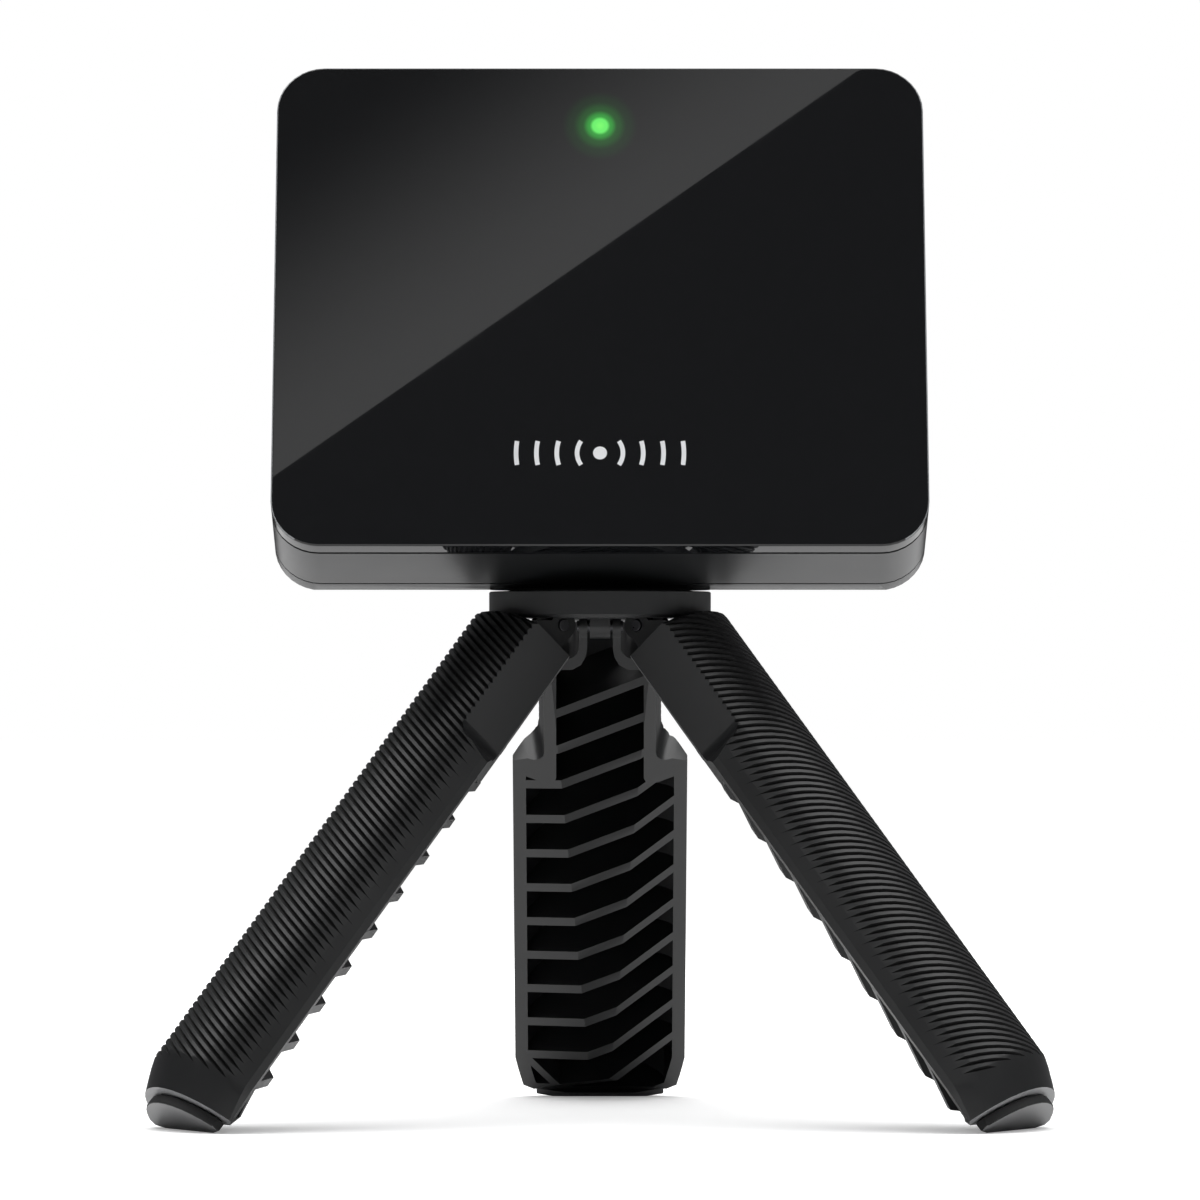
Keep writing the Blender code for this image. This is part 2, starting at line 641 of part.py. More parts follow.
def screw_places():
    mid = HEAD_H / 2
    return {"top_left": (-SCREW_X, mid + SCREW_Z), "top_right": (SCREW_X, mid + SCREW_Z),
            "bottom_left": (-SCREW_X, mid - SCREW_Z), "bottom_right": (SCREW_X, mid - SCREW_Z)}


def build_window(frame, looks):
    rings = [head_outline(WINDOW_EDGE, 0.0), head_outline(0.0, WINDOW_EDGE), head_outline(0.0, WINDOW_T)]
    window = place("front_window", mesh_of("window", loft(rings)), frame, looks["gloss"])
    hollow = plate(HEAD_W - 2 * WINDOW_RIM, HEAD_H - 2 * WINDOW_RIM, (0, HEAD_H / 2),
                   WINDOW_RECESS_Y, WINDOW_T + MM, HEAD_CORNER_R - WINDOW_RIM)
    cut(window, "window_recess", hollow)
    # the seal sits in a step round the housing's front, behind the window's edge
    inner = SEAL_INSET + SEAL_W
    seal = loft([head_outline(SEAL_INSET, SEAL_Y0), head_outline(SEAL_INSET, SEAL_Y1),
                 head_outline(inner, SEAL_Y1), head_outline(inner, SEAL_Y0)], closed=True)
    place("perimeter_seal", mesh_of("seal", seal), frame, looks["rubber"])


def build_housing(frame, looks):
    front = WINDOW_T + WINDOW_SEAM
    step_inset = SEAL_INSET - GAP
    sections = [(0.0, front), (0.0, HOUSING_BACK_Y), (WALL, HOUSING_BACK_Y), (WALL, LEDGE_END_Y),
                (SEAL_LEDGE, LEDGE_Y1), (SEAL_LEDGE, LEDGE_Y0), (step_inset, LEDGE_Y0), (step_inset, front)]
    shell = loft([head_outline(inset, y) for inset, y in sections], closed=True)
    housing = place("mid_housing", mesh_of("housing", shell), frame, looks["satin"])
    for tag, centre in screw_places().items():
        boss = rod(SCREW_BOSS_R, centre, SCREW_BOSS_Y, HOUSING_BACK_Y - 0.01 * MM)
        cut(housing, f"boss_{tag}", boss, "UNION")
        cut(housing, f"pilot_{tag}", rod(SCREW_SHANK_R + GAP, centre, SCREW_BOSS_Y + MM, SLAB_T, 12))
    opening = rounded_rect(BUTTON_L + 2 * GAP, BUTTON_W + 2 * GAP, BUTTON_W / 2 + GAP - 0.01 * MM, 5)
    start = Vector((BUTTON_X, BUTTON_Y, HEAD_H - 2 * WALL))
    cut(housing, "button_opening", bar(opening, start, Z * 4 * WALL, (X, Y)))
    opening = rounded_rect(FLAP_W + 2 * GAP, FLAP_L + 2 * GAP, 0.8 * MM, 3)
    start = Vector((HEAD_W / 2 - 2 * WALL, PORT_Y, PORT_Z))
    cut(housing, "port_opening", bar(opening, start, X * 4 * WALL, (Y, Z)))


def heel_rise(z):
    """0 up the heel's upright foot, then to 1 where it runs out into the cover."""
    return min(1.0, max(0.0, (z - HEEL_FLAT_TOP) / (HEEL_TOP - HEEL_FLAT_TOP)))


def heel(inset, low, high, front):
    """Solid of the heel, or of the room inside it."""
    rings = []
    corner_steps = 4
    for z in evenly(low, high, 9):
        rise = heel_rise(z + inset)
        back = HEEL_Y + (SLAB_T - 0.7 * MM - HEEL_Y) * rise ** 1.7 - inset
        depth = max(back - front, 0.5 * MM)
        half = HEEL_HALF - HEEL_TAPER * rise ** 2 - inset
        corner = min(HEEL_CORNER_R - inset, depth * 0.8)
        ring = [Vector((half, front, z))]
        for side in (1, -1):
            for step in range(corner_steps + 1):
                t = math.radians(90.0 * step / corner_steps)
                if side < 0:
                    t = math.radians(90.0) - t
                ring.append(Vector((side * (half - corner + corner * math.cos(t)),
                                    front + depth - corner + corner * math.sin(t), z)))
        ring.append(Vector((-half, front, z)))
        rings.append(ring)
    return loft(rings)


def upright_rod(frame_from_root, radius, z0, z1, steps=24):
    """Cylinder on the tripod axis, in the leaning head's frame."""
    ring = circle(radius, steps)
    return loft([[frame_from_root @ Vector((x, y, z)) for x, y in ring] for z in (z0, z1)])


def build_cover(frame, frame_from_root, looks):
    edge = COVER_EDGE
    rings = [head_outline(0.0, COVER_FRONT_Y), head_outline(0.0, SLAB_T - edge),
             head_outline(0.3 * edge, SLAB_T - 0.3 * edge), head_outline(edge, SLAB_T)]
    cover = place("rear_cover", mesh_of("cover", loft(rings)), frame, looks["satin"])
    solid = heel(0.0, HEEL_BOTTOM, HEEL_TOP, SLAB_T - HEEL_ROOT)
    cut(cover, "heel_outside", solid, "UNION")
    room = plate(HEAD_W - 2 * COVER_RIM, HEAD_H - 2 * COVER_RIM, (0, HEAD_H / 2),
                 COVER_FRONT_Y - 3 * MM, SLAB_T - COVER_BACK, 3 * MM)
    cut(cover, "cover_room", room)
    hollow = heel(HEEL_WALL, HEEL_ROOM_BOTTOM, HEEL_ROOM_TOP, SLAB_T - 2 * COVER_BACK)
    cut(cover, "heel_room", hollow)
    insert_top = BASE_Z + INSERT_LENGTH
    boss = upright_rod(frame_from_root, BOSS_R, BASE_Z - 0.5 * MM, insert_top + COVER_BACK)
    cut(cover, "insert_boss", boss, "UNION")
    under = box((-HEAD_W, -HEAD_W, BASE_Z - 10 * MM), (HEAD_W, HEAD_W, BASE_Z))
    under.transform(frame_from_root)
    cut(cover, "base_plane", under)
    hole = upright_rod(frame_from_root, INSERT_R + GAP, BASE_Z - MM, insert_top + GAP)
    cut(cover, "insert_hole", hole)
    for tag, centre in screw_places().items():
        cut(cover, f"screw_seat_{tag}", rod(SCREW_HEAD_R + GAP, centre, SCREW_SEAT_Y, SLAB_T + MM))
        cut(cover, f"screw_hole_{tag}", rod(SCREW_SHANK_R + GAP, centre, COVER_FRONT_Y - MM, SLAB_T, 12))
    insert = []
    for radius, z in ((INSERT_R, INSERT_BOTTOM), (INSERT_R, insert_top),
                      (INSERT_BORE_R, insert_top), (INSERT_BORE_R, INSERT_BOTTOM)):
        insert.append([frame_from_root @ Vector((x, y, z)) for x, y in circle(radius, 32)])
    place("thread_insert", mesh_of("insert", loft(insert, closed=True)), frame, looks["brass"])


def build_screws(frame, looks):
    """Small pan-head screws with a round driver recess."""
    seat = SCREW_SEAT_Y + 0.1 * MM
    head = seat + 0.9 * MM
    recess_r = SCREW_HEAD_R / 2
    profile = [(SCREW_SHANK_R, SCREW_TIP_Y), (SCREW_SHANK_R, seat), (SCREW_HEAD_R, seat),
               (SCREW_HEAD_R, head - GAP), (SCREW_HEAD_R - GAP, head),
               (recess_r, head), (recess_r, head - 0.6 * MM)]
    for tag, centre in screw_places().items():
        rings = [[Vector((centre[0] + u, y, centre[1] + v)) for u, v in circle(r, 16)] for r, y in profile]
        place(f"cover_screw_{tag}", mesh_of("screw", loft(rings)), frame, looks["steel"])


def inner_plate(name, frame, surface):
    """One of the flat pieces inside the head."""
    width, height, mid_x, mid_z, front, back, corner = (size * MM for size in INNER_PLATES[name])
    solid = plate(width, height, (mid_x, mid_z), front, back, corner)
    return place(name, mesh_of(name, solid), frame, surface)


def build_electronics(frame, looks):
    inner_plate("radar_board", frame, looks["board"])
    inner_plate("radar_antenna", frame, looks["antenna"])
    inner_plate("radar_shield", frame, looks["steel"])
    inner_plate("status_led", frame, looks["led"])
    guide = rod(LIGHT_GUIDE_R, (0, LED_Z), WINDOW_RECESS_Y + GAP, INNER_PLATES["status_led"][4] * MM - GAP)
    place("light_guide", mesh_of("guide", guide), frame, looks["led"])
    inner_plate("battery_pack", frame, looks["battery"])
    tray = inner_plate("battery_tray", frame, looks["satin"])
    width, height, _, _, front, back, _ = (size * MM for size in INNER_PLATES["battery_tray"])
    room = plate(width - 2 * TRAY_WALL, height - 2 * TRAY_WALL, (0, TRAY_Z), front + 0.8 * MM, back + MM)
    cut(tray, "tray_room", room)
    window = plate(width / 3, height / 2, (0, TRAY_Z), front - MM, back, 2 * MM)
    cut(tray, "tray_window", window)


def build_button(frame, looks):
    """Power button: a pill on a flange that stays inside the housing, over a small switch."""
    z0 = HEAD_H - WALL - GAP
    pill = rounded_rect(BUTTON_L, BUTTON_W, BUTTON_W / 2 - 0.01 * MM, 6)
    flange = rounded_rect(BUTTON_L + 2 * MM, BUTTON_W + 1.6 * MM, BUTTON_W / 2, 6)
    trim = 1 - 0.3 * MM / BUTTON_W
    top = HEAD_H + BUTTON_PROUD
    rows = ((flange, 1.0, z0 - BUTTON_FLANGE), (flange, 1.0, z0), (pill, 1.0, z0),
            (pill, 1.0, top - 0.2 * MM), (pill, trim, top))
    rings = [[Vector((BUTTON_X + u * k, BUTTON_Y + v * k, z)) for u, v in shape] for shape, k, z in rows]
    place("power_button", mesh_of("button", loft(rings)), frame, looks["satin"])
    switch = rounded_rect(6 * MM, 3.4 * MM, 0.4 * MM, 2)
    switch_top = z0 - BUTTON_FLANGE - BUTTON_TRAVEL - GAP
    start = Vector((BUTTON_X, BUTTON_Y + 0.4 * MM, switch_top - SWITCH_H))
    solid = bar(switch, start, Z * SWITCH_H, (X, Y))
    place("power_switch", mesh_of("switch", solid), frame, looks["steel"])


def build_port(frame, looks):
    """Charging socket in the side wall, and the rubber flap that closes it."""
    shell = rounded_rect(SOCKET_W, SOCKET_L, 0.7 * MM, 3)
    start = Vector((SOCKET_BACK_X, PORT_Y, PORT_Z))
    solid = bar(shell, start, X * SOCKET_DEPTH, (Y, Z))
    port = place("charging_port", mesh_of("port", solid), frame, looks["steel"])
    mouth = rounded_rect(SOCKET_W - 2 * SOCKET_WALL, SOCKET_L - 2 * SOCKET_WALL, 0.4 * MM, 3)
    cut(port, "port_mouth", bar(mouth, start + X * 0.8 * MM, X * SOCKET_DEPTH, (Y, Z)))

    hinge_x = HEAD_W / 2 - FLAP_T / 2
    hinge_y = PORT_Y + FLAP_W / 2 - FLAP_BARREL_R
    hinge = empty("port_flap_hinge", Matrix.Translation((hinge_x, hinge_y, PORT_Z)), frame)
    outline = []
    for step in range(9):
        t = math.radians(-90.0 + 180.0 * step / 8)
        outline.append((-FLAP_T / 2 * math.sin(t), FLAP_BARREL_R * math.cos(t)))
    far = FLAP_BARREL_R - FLAP_W
    lead_in = 0.2 * MM
    outline += [(-FLAP_T / 2, far + lead_in), (-FLAP_T / 2 + lead_in, far), (FLAP_T / 2, far)]
    low = Vector((0, 0, -FLAP_L / 2))
    place("port_flap", mesh_of("flap", bar(outline, low, Z * FLAP_L, (X, Y))), hinge, looks["rubber"])


def build_head(root, looks):
    lean = Matrix.Translation((0, HEAD_EDGE_Y, HEAD_EDGE_Z)) @ Matrix.Rotation(-HEAD_LEAN, 4, "X")
    frame = empty("head", lean, root)
    frame_from_root = lean.inverted()
    build_window(frame, looks)
    build_housing(frame, looks)
    build_cover(frame, frame_from_root, looks)
    build_screws(frame, looks)
    build_electronics(frame, looks)
    build_button(frame, looks)
    build_port(frame, looks)


def main():
    clear_scene()
    looks = {
        "gloss": material("gloss_window", (0.006, 0.006, 0.007), 0.06),
        "satin": material("satin_housing", (0.018, 0.019, 0.020), 0.42),
        "leg": material("leg_plastic", (0.016, 0.017, 0.018), 0.50),
        "rubber": material("rubber", (0.012, 0.012, 0.013), 0.75),
        "steel": material("steel", (0.45, 0.46, 0.47), 0.30, 1.0),
        "brass": material("brass", (0.62, 0.45, 0.18), 0.30, 1.0),
        "board": material("circuit_board", (0.01, 0.08, 0.04), 0.45),
        "antenna": material("antenna_copper", (0.55, 0.30, 0.15), 0.35, 1.0),
        "led": material("green_light", (0.10, 0.85, 0.15), 0.25),
        "battery": material("battery_foil", (0.35, 0.36, 0.38), 0.40, 0.6),
    }
    root = empty("launch_monitor", Matrix.Translation((0, TRIPOD_Y, 0)))
    build_tripod(root, looks)
    build_head(root, looks)


main()
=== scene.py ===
import json
import math

import bmesh
import bpy
from mathutils import Matrix, Vector

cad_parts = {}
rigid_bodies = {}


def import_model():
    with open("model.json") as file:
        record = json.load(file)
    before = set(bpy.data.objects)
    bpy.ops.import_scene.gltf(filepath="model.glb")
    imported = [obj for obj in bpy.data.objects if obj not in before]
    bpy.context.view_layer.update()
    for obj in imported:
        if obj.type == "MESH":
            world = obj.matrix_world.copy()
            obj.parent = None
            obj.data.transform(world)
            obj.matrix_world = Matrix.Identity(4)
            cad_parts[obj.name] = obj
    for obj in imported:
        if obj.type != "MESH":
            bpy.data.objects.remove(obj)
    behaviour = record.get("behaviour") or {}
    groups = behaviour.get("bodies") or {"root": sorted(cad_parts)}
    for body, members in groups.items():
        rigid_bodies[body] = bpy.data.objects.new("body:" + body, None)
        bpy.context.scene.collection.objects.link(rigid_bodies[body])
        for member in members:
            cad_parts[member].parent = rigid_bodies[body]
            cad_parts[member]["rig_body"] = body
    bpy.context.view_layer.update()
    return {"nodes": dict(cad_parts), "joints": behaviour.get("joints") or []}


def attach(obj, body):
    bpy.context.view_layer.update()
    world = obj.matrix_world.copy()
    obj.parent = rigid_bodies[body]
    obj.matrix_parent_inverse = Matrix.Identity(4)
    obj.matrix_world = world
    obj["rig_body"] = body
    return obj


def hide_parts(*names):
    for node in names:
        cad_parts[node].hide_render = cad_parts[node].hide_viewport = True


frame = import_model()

NODES = frame["nodes"]
MM = 0.001

# ---- where things are in the CAD ---------------------------------------------------------
TRIPOD_Y = -13.3 * MM
HEAD_LEAN = 0.365
HEAD_AHEAD = 20.1 * MM               # the window's lower edge in front of the tripod's axis
HEAD_FOOT_Z = 78.08 * MM
HEAD = (Matrix.Translation((0, TRIPOD_Y - HEAD_AHEAD, HEAD_FOOT_Z))
        @ Matrix.Rotation(-HEAD_LEAN, 4, "X"))
HEAD_W = 88.9 * MM
HEAD_H = 71.12 * MM
LED_UP = 62.3 * MM
LED_PLACE = HEAD @ Vector((0, 0, LED_UP))

LEG_SPLAY = math.radians(39.53)
LEG_AZIMUTHS = {"left": 210.0, "right": 330.0, "rear": 90.0}
LEG_R = 14.65 * MM
LEG_HALF_WIDTH = 12.25 * MM
LEG_ARC_STEPS = 16
HINGE_B = 5.5803 * MM
HINGE_S = 4.8642 * MM


# ---- the status light's glow through the window -------------------------------------------
GLOW_REACH = 5.4 * MM
GLOW_CENTRE = (0.18, 0.95, 0.14)
# share of the reach, and the colour there
GLOW_STOPS = ((0.17, (0.13, 0.85, 0.13)), (0.27, (0.02, 0.30, 0.03)),
              (0.45, (0.004, 0.07, 0.006)), (0.70, (0.0, 0.015, 0.001)))


# ---- nodes -------------------------------------------------------------------------------
def new_material(name):
    """An empty node tree with a Principled shader and the object's own coordinates."""
    made = bpy.data.materials.new(name)
    made.use_nodes = True
    tree = made.node_tree
    shader = tree.nodes["Principled BSDF"]
    place = tree.nodes.new("ShaderNodeTexCoord")
    return made, tree, shader, place.outputs["Object"]


def noise(tree, place, scale, detail=3.0, roughness=0.5):
    """A 0..1 pattern with scale features to the metre."""
    made = tree.nodes.new("ShaderNodeTexNoise")
    made.inputs["Scale"].default_value = scale
    made.inputs["Detail"].default_value = detail
    made.inputs["Roughness"].default_value = roughness
    tree.links.new(place, made.inputs["Vector"])
    return made.outputs["Fac"]


def span(tree, value, low, high, start=0.3, end=0.7):
    """Maps a 0..1 pattern to a range of values."""
    made = tree.nodes.new("ShaderNodeMapRange")
    made.inputs["From Min"].default_value = start
    made.inputs["From Max"].default_value = end
    made.inputs["To Min"].default_value = low
    made.inputs["To Max"].default_value = high
    tree.links.new(value, made.inputs["Value"])
    return made.outputs["Result"]


def tint(tree, value, dark, light):
    """Mixes two colours by a 0..1 pattern."""
    made = tree.nodes.new("ShaderNodeMix")
    made.data_type = "RGBA"
    made.inputs["A"].default_value = (*dark, 1.0)
    made.inputs["B"].default_value = (*light, 1.0)
    tree.links.new(value, made.inputs["Factor"])
    return made.outputs["Result"]


def bump(tree, value, strength, distance):
    """Raises the surface by a 0..1 pattern."""
    made = tree.nodes.new("ShaderNodeBump")
    made.inputs["Strength"].default_value = strength
    made.inputs["Distance"].default_value = distance
    tree.links.new(value, made.inputs["Height"])
    return made.outputs["Normal"]


CLOUD_SCALE = 45.0                   # flow marks, a couple of centimetres across
CLOUD_DARK, CLOUD_LIGHT = 0.86, 1.16
GRAIN_STRENGTH = 0.35


def moulded(name, color, rough, grain=2600.0, grain_depth=0.012 * MM, spread=0.06, specular=0.5):
    """Moulded plastic or rubber: spark-eroded grain, faint flow marks and uneven sheen."""
    made, tree, shader, place = new_material(name)
    cloud = noise(tree, place, CLOUD_SCALE, 4.0, 0.55)
    fine = noise(tree, place, grain, 2.0, 0.6)
    dark = tuple(c * CLOUD_DARK for c in color)
    light = tuple(c * CLOUD_LIGHT for c in color)
    tree.links.new(tint(tree, span(tree, cloud, 0.0, 1.0), dark, light), shader.inputs["Base Color"])
    tree.links.new(span(tree, cloud, rough - spread, rough + spread), shader.inputs["Roughness"])
    tree.links.new(bump(tree, fine, GRAIN_STRENGTH, grain_depth), shader.inputs["Normal"])
    shader.inputs["Specular IOR Level"].default_value = specular
    return made


def metal(name, color, rough):
    """Turned or plated metal with fine brushed variation."""
    made, tree, shader, place = new_material(name)
    fine = noise(tree, place, 1800.0, 3.0, 0.7)
    cloud = noise(tree, place, 160.0, 2.0, 0.5)
    dark = tuple(c * 0.8 for c in color)
    tree.links.new(tint(tree, span(tree, cloud, 0.0, 1.0), dark, color), shader.inputs["Base Color"])
    tree.links.new(span(tree, fine, rough * 0.75, rough * 1.3), shader.inputs["Roughness"])
    tree.links.new(bump(tree, fine, 0.2, 0.004 * MM), shader.inputs["Normal"])
    shader.inputs["Metallic"].default_value = 1.0
    return made


def window_glass(name):
    """Black polished window with the status light glowing through it."""
    made, tree, shader, place = new_material(name)
    wave = noise(tree, place, 30.0, 2.0, 0.4)
    haze = noise(tree, place, 240.0, 4.0, 0.6)
    dark, light = (0.0058, 0.0061, 0.0068), (0.0074, 0.0078, 0.0086)
    tree.links.new(tint(tree, haze, dark, light), shader.inputs["Base Color"])
    tree.links.new(span(tree, haze, 0.004, 0.012), shader.inputs["Roughness"])
    tree.links.new(bump(tree, wave, 0.05, 0.004 * MM), shader.inputs["Normal"])
    shader.inputs["IOR"].default_value = 1.5
    away = tree.nodes.new("ShaderNodeVectorMath")
    away.operation = "DISTANCE"
    away.inputs[1].default_value = LED_PLACE
    tree.links.new(place, away.inputs[0])
    glow = tree.nodes.new("ShaderNodeValToRGB")
    stops = glow.color_ramp
    stops.interpolation = "EASE"
    stops.elements[0].position = 0.0
    stops.elements[0].color = (*GLOW_CENTRE, 1.0)
    stops.elements[1].position = 1.0
    stops.elements[1].color = (0.0, 0.0, 0.0, 1.0)
    for at, color in GLOW_STOPS:
        stops.elements.new(at).color = (*color, 1.0)
    far = span(tree, away.outputs["Value"], 0.0, 1.0, 0.0, GLOW_REACH)
    tree.links.new(far, glow.inputs["Fac"])
    tree.links.new(glow.outputs["Color"], shader.inputs["Emission Color"])
    shader.inputs["Emission Strength"].default_value = 1.0
    return made


# ---- mesh tools --------------------------------------------------------------------------
WELD = 0.5e-6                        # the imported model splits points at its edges
FLAT_TURN = 0.4                      # degrees between triangles of one flat face


def welded(node):
    """A CAD node's mesh again as one closed skin with its flat faces whole."""
    mesh = NODES[node].data.copy()
    bm = bmesh.new()
    bm.from_mesh(mesh)
    bmesh.ops.remove_doubles(bm, verts=bm.verts, dist=WELD)
    bmesh.ops.dissolve_limit(bm, angle_limit=math.radians(FLAT_TURN), verts=bm.verts, edges=bm.edges)
    bm.to_mesh(mesh)
    bm.free()
    if "custom_normal" in mesh.attributes:
        mesh.attributes.remove(mesh.attributes["custom_normal"])
    return mesh


def put(name, mesh, body, surface):
    """A finished piece that rides on a body."""
    made = bpy.data.objects.new(name, mesh)
    bpy.context.scene.collection.objects.link(made)
    mesh.materials.clear()
    mesh.materials.append(surface)
    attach(made, body)
    return made


def baked(made):
    """Applies a piece's modifiers."""
    graph = bpy.context.evaluated_depsgraph_get()
    mesh = bpy.data.meshes.new_from_object(made.evaluated_get(graph))
    made.modifiers.clear()
    made.data = mesh
    return made


def polish(made, angle):
    """Smooth shading over small turns, crisp over real edges, flat faces kept flat."""
    made.data.shade_smooth()
    made.data.set_sharp_from_angle(angle=math.radians(angle))
    step = made.modifiers.new("normals", "WEIGHTED_NORMAL")
    step.keep_sharp = True
    return made


def soften(made, width, segments=2, angle=38.0):
    """Rounds the edges that turn by more than the angle."""
    step = made.modifiers.new("edges", "BEVEL")
    step.width = width
    step.segments = segments
    step.limit_method = "ANGLE"
    step.angle_limit = math.radians(angle)
    step.use_clamp_overlap = True
    return made


def refined(node, surface, width, segments=2):
    """A CAD node's shape with its edges rounded to a width, in place of the node."""
    body = NODES[node]["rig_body"]
    made = put(f"{node}_finished", welded(node), body, surface)
    if width:
        soften(made, width, segments)
        baked(made)
    polish(made, 34.0)
    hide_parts(node)
    return made


def closed_mesh(name, bm):
    """A mesh of closed skins with their faces turned outward."""
    bmesh.ops.remove_doubles(bm, verts=bm.verts, dist=1e-8)
    bmesh.ops.recalc_face_normals(bm, faces=bm.faces)
    mesh = bpy.data.meshes.new(name)
    bm.to_mesh(mesh)
    bm.free()
    return mesh


def skin(bm, rings):
    """Closed loft through equal rings of points."""
    rows = [[bm.verts.new(point) for point in ring] for ring in rings]
    count = len(rows[0])
    for low, high in zip(rows, rows[1:]):
        for i in range(count):
            j = (i + 1) % count
            bm.faces.new((low[i], low[j], high[j], high[i]))
    bm.faces.new(rows[0])
    bm.faces.new(rows[-1])


# ---- legs ----------------------------------------------------------------------------------
GROOVE_PITCH = 1.06 * MM
GROOVE_SHEAR = 0.40                  # s per a, the same way as the ribs
GROOVE_TILT = -0.07                  # s per b
GROOVE_TOP_S = 3.6 * MM
GROOVE_END_S = 87.2 * MM
GROOVE_DEPTH = 0.30 * MM
GROOVE_HALF = 0.29 * MM
GROOVE_OUT = 0.06 * MM
GROOVE_LIFT = -0.15                  # depth share where a groove has left the surface
GROOVE_STOP = 1.5 * MM               # smooth band beside each rim, along the arc
GROOVE_FADE = 1.9 * MM
GROOVE_RUN_OUT = 1.2 * MM            # length of leg over which the last grooves end
GROOVE_STAGGER = 0.4 * MM            # every second groove stops this much earlier at the rims
GROOVE_STAGGER_RUN = 2 * MM          # and runs out later, deeper by its stagger over this
GROOVES_PAST_END = 6 * MM            # the shear brings part of these back on to the leg
END_FACING = 0.97                    # the leg's end face looks straight down the leg; it is painted pale grey as a painted reflection of the bright floor
END_HEIGHT = 12.0 * MM
LEG_EDGE = 0.16 * MM


def leg_frame(tag):
    """The leg's own frame, on its hinge pin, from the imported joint."""
    joint = next(j for j in frame["joints"] if j["name"] == f"leg_{tag}_fold")
    turn = Matrix.Rotation(math.radians(LEG_AZIMUTHS[tag]), 4, "Z")
    return Matrix.Translation(joint["pos_m"]) @ turn @ Matrix.Rotation(-LEG_SPLAY, 4, "Y")


def leg_point(a, b, s):
    """A place on a leg: a across, b out towards its back, s down from its top."""
    return Vector((b - HINGE_B, a, HINGE_S - s))


def groove(bm, middle, stagger):
    """One V groove round the leg's back, fading out before both rims."""
    limit = math.asin(LEG_HALF_WIDTH / LEG_R)
    rings = []
    for i in range(LEG_ARC_STEPS + 1):
        t = limit * (2 * i / LEG_ARC_STEPS - 1)
        a = LEG_R * math.sin(t)
        s = middle + GROOVE_SHEAR * a + GROOVE_TILT * (LEG_R * math.cos(t) - LEG_R)
        to_rim = LEG_R * (limit - abs(t))
        fade = min(1.0, (to_rim - GROOVE_STOP - stagger) / GROOVE_FADE)
        fade = min(fade, (GROOVE_END_S - s) / GROOVE_RUN_OUT + stagger / GROOVE_STAGGER_RUN)
        fade = max(fade, GROOVE_LIFT)
        bottom = LEG_R - GROOVE_DEPTH * fade
        top = LEG_R + GROOVE_OUT
        half = GROOVE_HALF * (top - bottom) / GROOVE_DEPTH
        ring = []
        for radius, side in ((bottom, 0.0), (top, half), (top, -half)):
            ring.append(leg_point(radius * math.sin(t), radius * math.cos(t), s + side))
        rings.append(ring)
    skin(bm, rings)


def groove_cutter(tag, materials):
    """All grooves of one leg, to be cut away; the cut faces take the second material, darker as painted
    shade in the grooves.
    """
    bm = bmesh.new()
    count = int((GROOVE_END_S + GROOVES_PAST_END - GROOVE_TOP_S) / GROOVE_PITCH)
    for i in range(count):
        groove(bm, GROOVE_TOP_S + GROOVE_PITCH * i, (i % 2) * GROOVE_STAGGER)
    bm.transform(leg_frame(tag))
    mesh = closed_mesh("grooves", bm)
    for surface in materials:
        mesh.materials.append(surface)
    for face in mesh.polygons:
        face.material_index = 1
    made = bpy.data.objects.new(f"grooves_{tag}", mesh)
    bpy.context.scene.collection.objects.link(made)
    return made


def finished_leg(tag, surface, shaded_groove_surface, end_painted_light_surface):
    """The leg with rounded moulding edges and the fine grooves cut into its back."""
    node = f"leg_{tag}"
    made = put(f"{node}_grooved", welded(node), node, surface)
    made.data.materials.append(shaded_groove_surface)
    made.data.materials.append(end_painted_light_surface)
    soften(made, LEG_EDGE, 2, 36.0)
    cutter = groove_cutter(tag, (surface, shaded_groove_surface))
    step = made.modifiers.new("grooves", "BOOLEAN")
    step.object = cutter
    step.solver = "EXACT"
    baked(made)
    bpy.data.objects.remove(cutter)
    # end faces near the floor take the pale material: a painted reflection of the floor
    down = leg_frame(tag).to_3x3() @ Vector((0, 0, -1))
    for face in made.data.polygons:
        if face.normal.dot(down) > END_FACING and face.center.z < END_HEIGHT:
            face.material_index = 2
    polish(made, 26.0)
    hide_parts(node)


# ---- faces painted paler with a second material: painted light -------------------------------
TREAD_NORMAL_Z = -0.6                # faces that look down this much are the tread, painted pale as painted floor light
ARRIS_MIN, ARRIS_MAX = 0.6, 0.8      # the bevel stands at 45 degrees to the front
ARRIS_SIDE = 0.35                    # and this much to the side, which leaves out top and bottom


def painted_edge_highlight(window, surface):
    """The bevel down both sides of the window is painted light grey: a painted highlight on its left and
    right edges.
    """
    window.data.materials.append(surface)
    front = HEAD.to_3x3() @ Vector((0, -1, 0))
    for face in window.data.polygons:
        toward = face.normal.dot(front)
        if ARRIS_MIN < toward < ARRIS_MAX and abs(face.normal.x) > ARRIS_SIDE:
            face.material_index = 1


def tread_painted_light(sole, surface):
    """The sole's end and ground faces are painted paler than its wall: painted light from the floor's
    bounce.
    """
    sole.data.materials.append(surface)
    for face in sole.data.polygons:
        if face.normal.z < TREAD_NORMAL_Z:
            face.material_index = 1


# ---- printed marks -------------------------------------------------------------------------
PRINT_LIFT = 0.012 * MM
MARK_Z = 13.5 * MM
MARK_DOT_R = 0.95 * MM
MARK_BAR = 0.62 * MM
MARK_HALF_HEIGHT = 1.75 * MM
MARK_WAVES = 4
MARK_FIRST_R = 3.1 * MM
MARK_STEP = 2.75 * MM
SIGN_X = 15.7 * MM
SIGN_Y = 9.6 * MM
SIGN_ABOVE = 0.35 * MM               # the button's face over the head's top
SIGN_R = 1.05 * MM
SIGN_LINE = 0.26 * MM
SIGN_GAP = math.radians(32.0)
SIGN_BAR_LENGTH = 1.05 * MM
SIGN_BAR_TOP = 1.0 * MM              # the bar's middle over the ring's centre
SIGN_BAR_R = 41.0 * MM               # the bar is a short piece of a ring this big
SIGN_BAR_TURN = 0.0032


